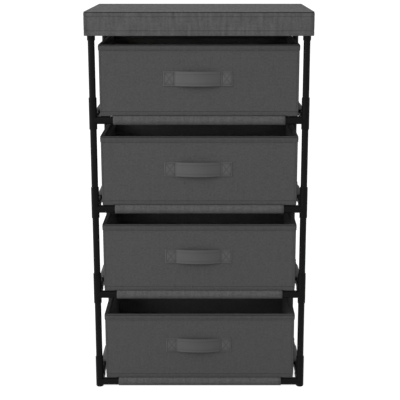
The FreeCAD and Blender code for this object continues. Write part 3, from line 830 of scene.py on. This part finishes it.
def sew_drawer(tier):
    """Sew a drawer's cloth box, outside and lining in one closed surface.

    The profile runs from the middle of the underside out, up the outside, over the rim and down
    the inside to the middle of the floor. The walls stand out by the product of a half sine up
    the wall and 1 - x squared along it, with gentle waves. Below the lowest seam the cloth draws
    in, and it hangs down a little at the front corners, past the sleeves of the shelf sheet.
    """
    cloth = sizes()
    drawer = f"drawer_{tier}"
    low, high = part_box(f"{drawer}_fabric")
    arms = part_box(f"{CONNECTORS[tier]}_front_left")[1]
    wall, turn, tuck = cloth.drawer_wall, cloth.base_turn, cloth.base_tuck
    lip, under_reach, wall_reach, back_reach = 0.001, 0.010, 0.005, 0.030
    crease_depth, sunk = 1.6 * cloth.seam_depth, 1.4 * cloth.seam_depth
    crease_shade, corner_shade = 0.5, 0.4
    outline = Outline(low, high, lines=(cloth.corner_line, high.x + arms.x))
    middle = -outline.half[1]
    crease, floor = low.z + cloth.base_line, low.z + cloth.drawer_cloth
    heights = spaced(low.z + turn, high.z - lip, cloth.grid, (crease,))
    draw_in = tuck * np.clip((crease - heights) / (crease - low.z - turn), 0, 1)
    draw_in += crease_depth * dip(heights - crease, cloth.seam_width)
    profile, part = joined(
        divided([(middle, low.z), (-tuck - turn, low.z)], cloth.grid),
        arc((-tuck - turn, low.z + turn), turn, -90, 0, 5),
        placed(-draw_in, heights),
        np.array([(-lip, high.z), (lip - wall, high.z)]),
        divided([(-wall, high.z - lip), (-wall, floor)], cloth.grid),
        divided([(-wall, floor), (middle, floor)], cloth.grid))
    outer, lining = (part == 2)[:, None], (part == 4)[:, None]
    points = outline.carry(profile)
    x, y, z = np.moveaxis(points, -1, 0).copy()
    stand = np.sin(math.pi * np.clip((z - low.z) / (high.z - low.z), 0, 1)) * outline.middle()
    flow = cloth.wave * waves(x - y, z, seed=20 + tier, scale=0.11)
    on_front = np.isclose(np.abs(outline.normal[:, 1]), 1)
    corner = on_front * dip(outline.from_corner() - cloth.corner_line, cloth.seam_width)
    shift = outer * (stand * (cloth.bulge + flow) - cloth.seam_depth * corner)
    shift -= lining * stand * (cloth.lining_bulge + flow)
    points[..., :2] += shift[..., None] * outline.normal
    reach = np.where(part == 0, under_reach, wall_reach)[:, None]
    past_sleeve = ramp((np.abs(x) + arms.x) / reach) * ramp((arms.y - y) / back_reach)
    below = np.clip((crease - z) / (crease - low.z), 0, 1)
    points[..., 2] -= cloth.base_droop * past_sleeve * below
    # Painted shade in the crease above the drawn-in base and beside the front corners.
    seam = outer * (
        crease_shade * dip(z - crease, cloth.seam_width) + corner_shade * corner)
    inside = np.repeat(part[1:] >= 4, len(outline.square) - 1).astype(int)
    Patches().add(points, seam=np.clip(seam, 0, 1), finish=inside).sew(
        f"{drawer}_cloth", ["drawer", "lining"], drawer, "drawer_cloth", f"{drawer}_fabric")
    line = outline.carry([(-sunk, crease)])[0]
    sew_rows(f"{drawer}_stitches", drawer, "drawer_cloth", [(line, outline.outward())])


def bind_hem(tier):
    """Bind a drawer's rim: a strip folded over it, sewn through near its lower edge.

    The profile is a closed loop: round the strip's lower edge, up the outside, over the rounded
    rim, down the inside and back up between the strip and the wall. The outside follows the
    wall as it stands out, with gentle waves of its own. The rim dips by one wave of a cosine.
    """
    cloth = sizes()
    drawer = f"drawer_{tier}"
    low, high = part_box(f"{drawer}_hem")
    wall_low, wall_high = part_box(f"{drawer}_fabric")
    strip, roll, rim_step, rim_dip = cloth.hem_cloth, cloth.rim_roll, 0.0012, 0.3 * cloth.wave
    joint_shadow, line_shade, side_shade = 1.4 * cloth.joint_width, 0.2, 0.9
    outline = Outline(wall_low, wall_high)
    proud = high.x - wall_high.x
    inner = -cloth.drawer_wall - proud
    turn, line, joint = low.z + strip / 2, high.z - cloth.hem_line, high.z - cloth.joint_drop
    heights = spaced(turn, high.z - roll, cloth.grid, (line,), (joint,))
    profile, part = joined(
        arc((proud - strip / 2, turn), strip / 2, 180, 360, 5),
        placed(proud, heights),
        arc((proud - roll, high.z - roll), roll, 0, 90, 5),
        divided([(proud - roll, high.z), (inner + roll, high.z)], rim_step),
        arc((inner + roll, high.z - roll), roll, 90, 180, 5),
        placed(inner, heights[::-1]),
        divided([
            (inner, turn), (inner + strip / 2, low.z), (inner + strip, turn),
            (inner + strip, high.z - strip), (proud - strip, high.z - strip),
            (proud - strip, turn)], cloth.grid))
    height = profile[:, 1].copy()
    outer, within = (part == 1) | (part == 2), part == 5
    sewn = dip(height - line, cloth.seam_width)
    profile[:, 0] -= cloth.seam_depth * sewn * (1.0 * outer - within)
    profile[:, 0] -= outer * cloth.hem_joint * dip(height - joint, cloth.joint_width)
    over = 2 * math.pi * (proud - profile[:, 0]) / (proud - inner)
    profile[:, 1] -= (part == 3) * rim_dip * (1 - np.cos(over))
    points = outline.carry(profile)
    flow = cloth.wave * waves(*(outline.square * outline.half).T, seed=40 + tier, scale=0.07)
    wall_height = wall_high.z - wall_low.z
    follow = np.clip(math.pi * (high.z - height) / wall_height, 0, 1)[:, None] * cloth.bulge
    shift = (profile[:, 0] > proud - strip)[:, None] * outline.middle() * (follow + flow)
    points[..., :2] += shift[..., None] * outline.normal
    # Painted shade in the joint below the rim and along the sewn line. The rim's top over the side
    # walls is painted dark as shade from the shelf above.
    seam = (outer * (line_shade * sewn + dip(height - joint, joint_shadow)))[:, None]
    side_rim = ((part == 3) | (part == 4))[:, None] * np.square(outline.normal[:, 0])
    Patches().add(points, seam=np.clip(seam + side_shade * side_rim, 0, 1)).sew(
        f"{drawer}_hem_binding", ["hem"], drawer, "hem_cloth", f"{drawer}_hem")
    sunk, outward = cloth.seam_depth, outline.outward()
    lift = outline.middle() * (cloth.bulge * math.pi * cloth.hem_line / wall_height + flow)
    sew_rows(f"{drawer}_hem_stitches", drawer, "hem_cloth", (
        (outline.carry([(proud - sunk, line)], lift)[0], outward),
        (outline.carry([(inner + sunk, line)])[0], -outward)))


def strap_lines(from_end, height, half, tab, inset):
    """How far a point of a strap lies from the sewn box and cross of its end.

    The box runs inset from the end's four sides, and the cross joins its corners.
    """
    far = 1.0
    across_box = np.minimum(np.abs(from_end - inset), np.abs(from_end - (tab - inset)))
    along_box = np.abs(height - (half - inset))
    within_tab = (from_end > inset / 2) & (from_end < tab - inset / 2)
    within_height = height < half - inset / 2
    share = np.abs(2 * (from_end - inset) / (tab - 2 * inset) - 1)
    tall, long = half - inset, tab / 2 - inset
    cross = np.abs(share - height / tall) * tall * long / math.hypot(tall, long)
    return np.minimum(
        np.where(within_tab, np.minimum(along_box, np.where(within_height, cross, far)), far),
        np.where(within_height, across_box, far))


def sew_strap(tier):
    """Sew a strap handle: flat ends with boxed crosses, and a bowed middle.

    Between the sewn ends its back stands off the drawer by a circle's arc. The section is a flat
    bar with rounded edges, and it is carried along that line, square to it. At each end of the
    strap the bar thins to nothing by a quarter of a circle. Painted shade darkens the right
    half of the bow, which turns away from the light, and the lower straps are darker than the
    upper ones.
    """
    cloth = sizes()
    drawer = f"drawer_{tier}"
    low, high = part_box(f"{drawer}_handle")
    thick, edge = cloth.strap_cloth, cloth.strap_edge
    tab, inset = cloth.strap_tab, cloth.strap_line
    step, rear_step, back, taper = 0.0015, 0.003, 0.0004, 0.02
    line_width, fold_shade_width, rib_width = (share * cloth.seam_width for share in (0.8, 1.2, 1.5))
    left_fold_shade, rib_shade, edge_shade, right_half_shade, tier_shade = 0.3, 0.3, 0.8, 0.35, 0.07
    bow = high.y - low.y - thick
    half, centre_z, centre_x = (high.z - low.z) / 2, (high.z + low.z) / 2, (high.x + low.x) / 2
    span, rib_height = (high.x - low.x) - 2 * tab, 0.62 * half
    radius = (span * span / 4 + bow * bow) / (2 * bow)
    along = spaced(low.x, high.x, step, (low.x + tab, high.x - tab))
    inward = np.minimum(np.abs(along - centre_x), span / 2)
    rise = np.sqrt(radius ** 2 - inward ** 2) - (radius - bow)
    rounded = arc((thick - edge, half - edge), edge, 0, 90, 4)
    behind = arc((back, half - back), back, 90, 180, 2)
    section, part = joined(
        placed(thick, spaced(edge - half, half - edge, step, (inset - half, half - inset))),
        rounded, behind, divided([(0.0, half - back), (0.0, back - half)], rear_step),
        (behind * (1, -1))[::-1], (rounded * (1, -1))[::-1])
    front = part == 0
    from_end = np.minimum(along - low.x, high.x - along)[:, None]
    full = np.sqrt(1 - np.square(1 - np.clip(from_end / edge, 0, 1)))
    depth, tall = section[:, 0] * full, section[:, 1] * (1 - taper + taper * full)
    normal = unit(placed(-np.gradient(rise, along), 1.0))
    furrow = front * dip(strap_lines(from_end, np.abs(tall), half, tab, inset), line_width)
    depth = depth - cloth.seam_depth * furrow
    points = placed(
        along[:, None] + normal[:, :1] * depth,
        high.y - (rise[:, None] + normal[:, 1:] * depth), centre_z + tall)
    # Painted shadow at the bow's feet, darker at the right foot, which the bow shades from the
    # light.
    fold_shade = np.where(along > centre_x, 1.0, left_fold_shade)[:, None]
    fold_shade = front * fold_shade * dip(from_end - tab, fold_shade_width)
    rib = front * dip(np.abs(tall) - rib_height, rib_width)
    # Painted shade on the bow's right half, which turns away from the light, and on the strap's
    # edges for the shade above it. The lower straps are darker.
    right_and_tier_shade = right_half_shade * ramp((along - low.x - tab) / span) * (along < high.x - tab)
    right_and_tier_shade += tier_shade * (tier - 1)
    seam = furrow + fold_shade + rib_shade * rib + edge_shade * ~front + right_and_tier_shade[:, None]
    flat = placed(run_along(placed(along, rise))[:, None], run_along(section))
    Patches().add(points, flat=flat, seam=np.clip(seam, 0, 1)).sew(
        f"{drawer}_strap", ["strap"], drawer, "strap", f"{drawer}_handle")

    sunk = 0.6 * cloth.seam_depth
    face = high.y - thick + sunk
    down, up = centre_z - half + inset, centre_z + half - inset
    rows = []
    for left in (low.x + inset, high.x - tab + inset):
        right = left + tab - 2 * inset
        corners = placed((left, right, right, left), face, (down, down, up, up))
        ends = ((0, 1), (1, 2), (2, 3), (3, 0), (0, 2), (1, 3))
        rows += [(corners[list(pair)], FRONTWARDS) for pair in ends]
    sew_rows(f"{drawer}_strap_stitches", drawer, "strap", rows)


def line_base(tier):
    """Cover a drawer's base board in cloth: a thin slab with rounded edges and one sewn line."""
    cloth = sizes()
    drawer = f"drawer_{tier}"
    low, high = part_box(f"{drawer}_base_board")
    edge, line, line_shade = cloth.base_turn, cloth.liner_line, 0.6
    outline = Outline(low, high)
    middle = -outline.half[1]
    upper = spaced(middle, -edge, cloth.grid, (-line,))[::-1]
    furrow = dip(upper + line, cloth.seam_width)
    profile, part = joined(
        divided([(middle, low.z), (-edge, low.z)], cloth.grid),
        arc((-edge, low.z + edge), edge, -90, 0, 4),
        arc((-edge, high.z - edge), edge, 0, 90, 4),
        placed(upper, high.z - cloth.seam_depth * furrow))
    # Painted shade along the sewn line.
    seam = (part == 3) * line_shade * dip(profile[:, 0] + line, cloth.seam_width)
    Patches().add(outline.carry(profile), seam=seam[:, None]).sew(
        f"{drawer}_liner", ["lining"], drawer, "drawer_cloth", f"{drawer}_base_board")
    around = outline.carry([(-line, high.z - cloth.seam_depth)])[0]
    sew_rows(f"{drawer}_liner_stitches", drawer, "drawer_cloth", [(around, UP)])


# ------------------------------------------------------------------ stage


def lay_floor():
    """Lay the studio floor.

    It lights the rack as pale ground. Seen itself, it glows nearly white, and a pale surface
    that is added on top keeps the rack's shadow.
    """
    half = 40.0
    mesh = bpy.data.meshes.new("studio_floor")
    mesh.from_pydata(
        [(-half, -half, 0), (half, -half, 0), (half, half, 0), (-half, half, 0)], [],
        [(0, 1, 2, 3)])
    put_in("studio_floor", mesh)
    material = bpy.data.materials.new("Studio floor")
    nodes = Nodes(material)
    nodes.tree.nodes.remove(nodes.tree.nodes["Principled BSDF"])
    studio = bpy.context.scene.rack_studio
    ground = nodes.add("ShaderNodeBsdfDiffuse", {}, {"Color": (*colours().floor, 1.0)})
    pale = nodes.add("ShaderNodeBsdfDiffuse", {}, {"Color": (studio.floor_pale,) * 3 + (1.0,)})
    glow = nodes.add("ShaderNodeEmission", {}, {"Strength": studio.floor_glow})
    nodes.show("Material Output", ground, nodes.add("ShaderNodeAddShader", {}, {0: pale, 1: glow}))
    mesh.materials.append(material)


def light_sky():
    """Light the rack evenly from all round, and show white behind it."""
    world = bpy.data.worlds.new("Studio sky")
    bpy.context.scene.world = world
    nodes = Nodes(world)
    soft = nodes.tree.nodes["Background"]
    nodes.feed(soft, {"Color": WHITE, "Strength": bpy.context.scene.rack_studio.sky})
    white = nodes.add("ShaderNodeBackground", {}, {"Color": WHITE})
    nodes.show("World Output", Wire(nodes, soft.outputs[0]), white)


def hang_lamp(name, power, azimuth, elevation, distance, size):
    """Hang a square soft lamp that faces the rack's middle.

    Azimuth runs from the front towards the left and elevation upwards, both in degrees.
    """
    data = bpy.data.lights.new(name, "AREA")
    data.shape, data.size, data.energy = "SQUARE", size, power
    lamp = put_in(name, data)
    turn, rise = math.radians(azimuth), math.radians(elevation)
    way = np.array((
        -math.sin(turn) * math.cos(rise), -math.cos(turn) * math.cos(rise), math.sin(rise)))
    lamp.location = distance * way + (0.0, 0.0, (CAD_BOX[0][2] + CAD_BOX[1][2]) / 2)
    lamp.rotation_euler = (math.pi / 2 - rise, 0.0, -turn)


def set_camera():
    """Set the camera: level eye height above the cover, tilted down at the rack."""
    studio = bpy.context.scene.rack_studio
    data = bpy.data.cameras.new("camera")
    data.lens, data.sensor_width = studio.lens, SENSOR_WIDTH
    data.shift_x, data.shift_y = CAMERA_SHIFT
    data.clip_start, data.clip_end = CAMERA_CLIP
    camera = put_in("camera", data)
    camera.location = (studio.eye_side, -studio.eye_distance, studio.eye_height)
    camera.rotation_euler = (math.pi / 2 - studio.pitch, 0.0, 0.0)
    bpy.context.scene.camera = camera


# ------------------------------------------------------------------ operators and panel


class RACK_OT_dress_frame(Operator):
    """Give the tubes, the connectors and the boards their finishes"""

    bl_idname = "rack.dress_frame"
    bl_label = "Dress the frame"

    def execute(self, context):
        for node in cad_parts:
            if node.startswith(("connector", "top_connector", "foot")):
                dress_solid(node, "plastic")
            elif node.startswith(("uprights", "cross_rails", "side_rails")):
                dress_solid(node, "tube")
            elif node.endswith(("board", "boards")):
                dress_solid(node, "board")
        return {"FINISHED"}


class RACK_OT_sew_cover(Operator):
    """Sew the cloth cover"""

    bl_idname = "rack.sew_cover"
    bl_label = "Sew the cover"

    def execute(self, context):
        sew_cover()
        return {"FINISHED"}


class RACK_OT_sew_shelves(Operator):
    """Sew the four shelf sheets round their rails"""

    bl_idname = "rack.sew_shelves"
    bl_label = "Sew the shelf sheets"

    def execute(self, context):
        for tier in TIERS:
            sew_shelf(tier)
        return {"FINISHED"}


class RACK_OT_sew_drawers(Operator):
    """Sew the four drawers' cloth boxes"""

    bl_idname = "rack.sew_drawers"
    bl_label = "Sew the drawers"

    def execute(self, context):
        for tier in TIERS:
            sew_drawer(tier)
        return {"FINISHED"}


class RACK_OT_line_bases(Operator):
    """Cover the four base boards in cloth"""

    bl_idname = "rack.line_bases"
    bl_label = "Line the bases"

    def execute(self, context):
        for tier in TIERS:
            line_base(tier)
        return {"FINISHED"}


class RACK_OT_bind_hems(Operator):
    """Bind the rims of the four drawers"""

    bl_idname = "rack.bind_hems"
    bl_label = "Bind the hems"

    def execute(self, context):
        for tier in TIERS:
            bind_hem(tier)
        return {"FINISHED"}


class RACK_OT_sew_straps(Operator):
    """Sew the four strap handles on"""

    bl_idname = "rack.sew_straps"
    bl_label = "Sew the straps"

    def execute(self, context):
        for tier in TIERS:
            sew_strap(tier)
        return {"FINISHED"}


class RACK_OT_set_stage(Operator):
    """Set up the floor, the light and the camera"""

    bl_idname = "rack.set_stage"
    bl_label = "Set the stage"

    def execute(self, context):
        context.scene.view_settings.view_transform = "Standard"
        lay_floor()
        light_sky()
        hang_lamp("key_lamp", context.scene.rack_studio.key, **KEY_LAMP)
        set_camera()
        return {"FINISHED"}


OPERATORS = (
    RACK_OT_dress_frame, RACK_OT_sew_cover, RACK_OT_sew_shelves, RACK_OT_sew_drawers,
    RACK_OT_line_bases, RACK_OT_bind_hems, RACK_OT_sew_straps, RACK_OT_set_stage)


class RACK_PT_workshop(Panel):
    """The rack's sizes, colours, light and steps"""

    bl_label = "Cloth drawer rack"
    bl_idname = "RACK_PT_workshop"
    bl_space_type = "VIEW_3D"
    bl_region_type = "UI"
    bl_category = "Rack"

    def draw(self, context):
        """List the settings and a button for each step."""
        for group, kind in SETTINGS.items():
            box = self.layout.box()
            box.label(text=kind.__doc__)
            for setting in kind.__annotations__:
                box.prop(getattr(context.scene, group), setting)
        for operator in OPERATORS:
            self.layout.operator(operator.bl_idname)


CLASSES = (*SETTINGS.values(), *OPERATORS, RACK_PT_workshop)


def register():
    """Make the classes known and hang the settings on the scene."""
    for kind in CLASSES:
        bpy.utils.register_class(kind)
    for name, kind in SETTINGS.items():
        setattr(bpy.types.Scene, name, PointerProperty(type=kind))


def unregister():
    """Take the settings and the classes away again."""
    for name in SETTINGS:
        delattr(bpy.types.Scene, name)
    for kind in reversed(CLASSES):
        bpy.utils.unregister_class(kind)


def main():
    """Build the whole rack and its stage."""
    register()
    for operator in OPERATORS:
        group, name = operator.bl_idname.split(".")
        getattr(getattr(bpy.ops, group), name)()


if __name__ == "__main__":
    main()
